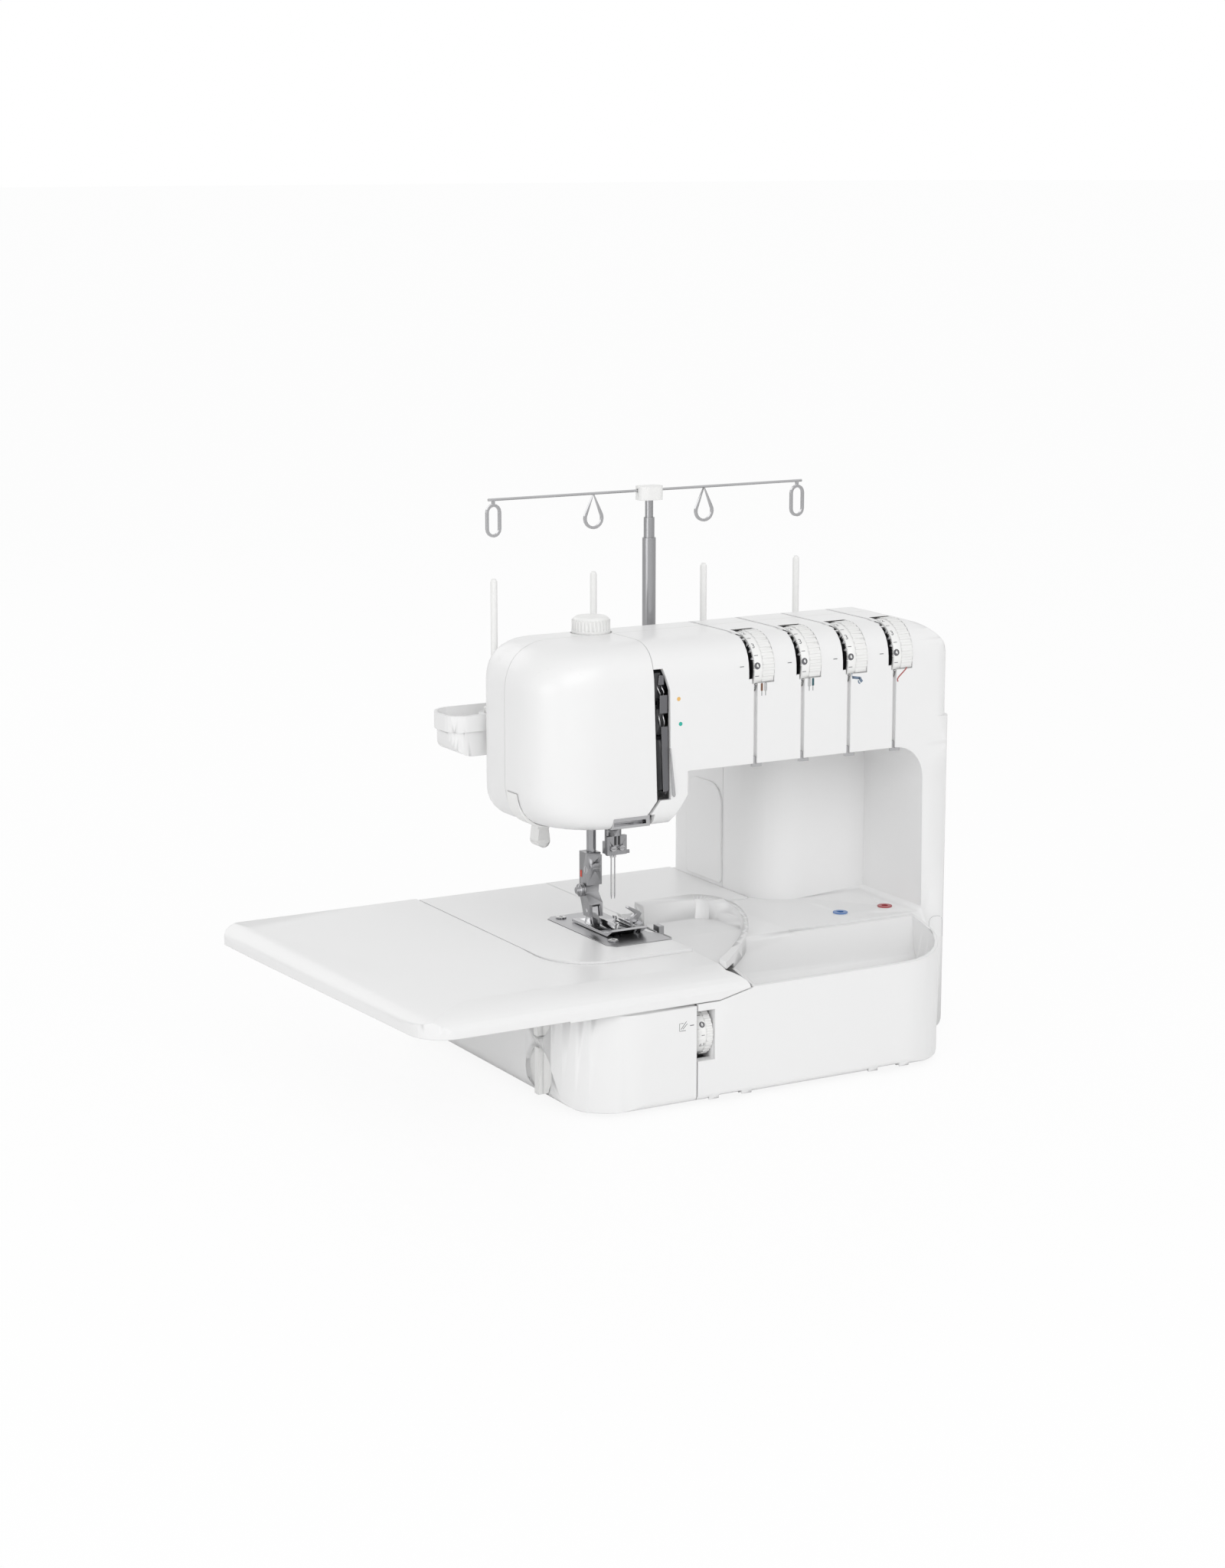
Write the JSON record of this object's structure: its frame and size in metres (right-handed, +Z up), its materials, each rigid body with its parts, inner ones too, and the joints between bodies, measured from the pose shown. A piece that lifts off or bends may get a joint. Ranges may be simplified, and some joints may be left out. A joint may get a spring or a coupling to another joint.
{
  "type": "overlock sewing machine",
  "caption": "Overlock sewing machine with needles, loopers, tension dials, slide-on table, hinged looper cover and telescopic thread stand.",
  "frame": {"origin": "bottom centre of the machine's bounding box, on the table top", "axes": "+X along the arm towards the handwheel, +Y from the operator to the back, +Z up"},
  "size_m": [0.5235, 0.2886, 0.41],
  "materials": {
    "white_shell": "satin",
    "white_control": "satin",
    "satin_steel": "brushed",
    "polished_steel": "polished",
    "cast_frame": "cast",
    "bronze": "sintered",
    "rubber": "matt",
    "grey_pan": "matt",
    "dark_plate": "satin",
    "motor_can": "satin",
    "lens": "frosted",
    "blue_ring": "gloss",
    "red_ring": "gloss"
  },
  "bodies": {
    "machine": {"base_housing": "white_shell", "base_pan": "grey_pan", "rubber_feet": "rubber", "machine_frame": "cast_frame", "front_housing": "white_shell", "rear_housing": "white_shell", "head_cover": "white_shell", "column_side_cover": "white_shell", "bed_cover": "white_shell", "machine_screws": "polished_steel", "needle_plate": "satin_steel", "presser_spring": "polished_steel", "lower_knife": "polished_steel", "tension_discs": "polished_steel", "thread_guides": "satin_steel", "take_up_cover": "dark_plate", "lamp_lens": "lens", "thread_cutter": "white_control", "lower_looper_port": "blue_ring", "upper_looper_port": "red_ring", "shaft_bushes": "bronze", "motor": "motor_can", "drive_belt": "rubber", "power_inlet": "dark_plate", "spool_tray": "white_shell", "spool_tray_shell": "white_shell", "spool_pins": "white_control", "mast_outer_tube": "satin_steel"},
    "table": {"slide_on_table": "white_shell"},
    "cover_rod": {"cover_hinge_rod": "satin_steel"},
    "cover": {"looper_cover": "white_shell"},
    "lifter": {"lifter_lever": "white_control"},
    "presser": {"presser_bar": "satin_steel", "foot_holder": "satin_steel"},
    "foot": {"presser_foot": "polished_steel"},
    "needle_bar": {"needle_bar": "satin_steel", "needle_clamp": "satin_steel", "needles": "polished_steel", "clamp_screws": "polished_steel"},
    "take_up": {"take_up_lever": "polished_steel"},
    "upper_looper": {"upper_looper": "polished_steel"},
    "lower_looper": {"lower_looper": "polished_steel"},
    "upper_knife": {"upper_knife": "polished_steel"},
    "feed": {"feed_dogs": "polished_steel"},
    "tension_dial_1": {"tension_dial_1": "white_control"},
    "tension_dial_2": {"tension_dial_2": "white_control"},
    "tension_dial_3": {"tension_dial_3": "white_control"},
    "tension_dial_4": {"tension_dial_4": "white_control"},
    "pressure_knob": {"pressure_knob": "white_control"},
    "width_dial": {"cutting_width_dial": "white_control"},
    "stitch_length": {"stitch_length_knob": "white_control"},
    "differential_feed": {"differential_feed_knob": "white_control"},
    "mast_middle": {"mast_middle_tube": "satin_steel"},
    "mast_top": {"mast_rod": "satin_steel", "mast_cap": "white_control", "thread_guide_bar": "satin_steel"},
    "drive": {"handwheel": "white_control", "main_shaft": "polished_steel"},
    "motor_pulley": {"motor_pulley": "dark_plate"},
    "switch": {"power_switch": "dark_plate"}
  },
  "joints": [
    {"name": "table_slide", "type": "slide", "parent": "machine", "child": "table", "axis": [-1, 0, 0], "range_m": [0, 0.12]},
    {"name": "cover_slide", "type": "slide", "parent": "machine", "child": "cover_rod", "axis": [1, 0, 0], "range_m": [0, 0.008]},
    {"name": "cover_hinge", "type": "hinge", "parent": "cover_rod", "child": "cover", "pos_m": [0.041, -0.13675, 0.01], "axis": [1, 0, 0], "range_deg": [0, 70]},
    {"name": "lifter_swing", "type": "hinge", "parent": "machine", "child": "lifter", "pos_m": [-0.055, 0.01625, 0.2], "axis": [0, -1, 0], "range_deg": [0, 60]},
    {"name": "presser_lift", "type": "slide", "parent": "machine", "child": "presser", "axis": [0, 0, 1], "range_m": [0, 0.006], "stiffness_N_per_m": 20, "springref_m": -0.02, "deforming": ["presser_spring"]},
    {"name": "foot_tilt", "type": "hinge", "parent": "presser", "child": "foot", "pos_m": [-0.029, -0.00125, 0.11], "axis": [1, 0, 0], "range_deg": [0, 5]},
    {"name": "needle_drop", "type": "slide", "parent": "machine", "child": "needle_bar", "axis": [0, 0, -1], "range_m": [0, 0.028]},
    {"name": "take_up_swing", "type": "hinge", "parent": "machine", "child": "take_up", "pos_m": [-0.012, -0.02275, 0.25], "axis": [1, 0, 0], "range_deg": [0, 21]},
    {"name": "upper_looper_swing", "type": "hinge", "parent": "machine", "child": "upper_looper", "pos_m": [0.029, -0.00675, 0.056], "axis": [0, -1, 0], "range_deg": [0, 16]},
    {"name": "lower_looper_swing", "type": "hinge", "parent": "machine", "child": "lower_looper", "pos_m": [0.021, -0.00675, 0.034], "axis": [0, 1, 0], "range_deg": [0, 12]},
    {"name": "knife_stroke", "type": "slide", "parent": "machine", "child": "upper_knife", "axis": [0, 0, -1], "range_m": [0, 0.0058]},
    {"name": "feed_stroke", "type": "slide", "parent": "machine", "child": "feed", "axis": [0, -1, 0], "range_m": [0, 0.003]},
    {"name": "tension_1_turn", "type": "hinge", "parent": "machine", "child": "tension_dial_1", "pos_m": [0.073, -0.04475, 0.289], "axis": [1, 0, 0], "range_deg": [-108, 135]},
    {"name": "tension_2_turn", "type": "hinge", "parent": "machine", "child": "tension_dial_2", "pos_m": [0.113, -0.04475, 0.289], "axis": [1, 0, 0], "range_deg": [-108, 135]},
    {"name": "tension_3_turn", "type": "hinge", "parent": "machine", "child": "tension_dial_3", "pos_m": [0.153, -0.04475, 0.289], "axis": [1, 0, 0], "range_deg": [-108, 135]},
    {"name": "tension_4_turn", "type": "hinge", "parent": "machine", "child": "tension_dial_4", "pos_m": [0.193, -0.04475, 0.289], "axis": [1, 0, 0], "range_deg": [-108, 135]},
    {"name": "pressure_turn", "type": "hinge", "parent": "machine", "child": "pressure_knob", "pos_m": [-0.029, 0.00225, 0.314], "axis": [0, 0, 1], "range_deg": [-150, 150]},
    {"name": "width_dial_turn", "type": "hinge", "parent": "machine", "child": "width_dial", "pos_m": [-0.019, -0.12675, 0.05], "axis": [1, 0, 0], "range_deg": [-60, 60]},
    {"name": "stitch_length_turn", "type": "hinge", "parent": "machine", "child": "stitch_length", "pos_m": [-0.116, -0.08275, 0.066], "axis": [1, 0, 0], "range_deg": [-90, 120]},
    {"name": "differential_feed_turn", "type": "hinge", "parent": "machine", "child": "differential_feed", "pos_m": [-0.116, -0.08375, 0.024], "axis": [1, 0, 0], "range_deg": [-90, 120]},
    {"name": "mast_middle_slide", "type": "slide", "parent": "machine", "child": "mast_middle", "axis": [0, 0, 1], "range_m": [0, 0.1]},
    {"name": "mast_top_slide", "type": "slide", "parent": "mast_middle", "child": "mast_top", "axis": [0, 0, 1], "range_m": [0, 0.12]},
    {"name": "handwheel_turn", "type": "hinge", "parent": "machine", "child": "drive", "pos_m": [0.241, 0.06125, 0.062], "axis": [1, 0, 0], "continuous": true},
    {"name": "motor_turn", "type": "hinge", "parent": "machine", "child": "motor_pulley", "pos_m": [0.215, 0.10125, 0.034], "axis": [1, 0, 0], "continuous": true},
    {"name": "switch_rock", "type": "hinge", "parent": "machine", "child": "switch", "pos_m": [0.232, 0.11425, 0.078], "axis": [0, 1, 0], "range_deg": [0, 12]}
  ],
  "couplings": [
    {"joint": "lifter_swing", "follows": "presser_lift", "rad_per_m": 174.53},
    {"joint": "foot_tilt", "follows": "presser_lift", "rad_per_m": 13.09},
    {"joint": "take_up_swing", "follows": "needle_drop", "rad_per_m": 12.5},
    {"joint": "upper_looper_swing", "follows": "needle_drop", "rad_per_m": 9.5},
    {"joint": "lower_looper_swing", "follows": "needle_drop", "rad_per_m": 7},
    {"joint": "knife_stroke", "follows": "needle_drop", "ratio": 0.2},
    {"joint": "feed_stroke", "follows": "needle_drop", "ratio": 0.1},
    {"joint": "motor_turn", "follows": "handwheel_turn", "ratio": 3}
  ]
}
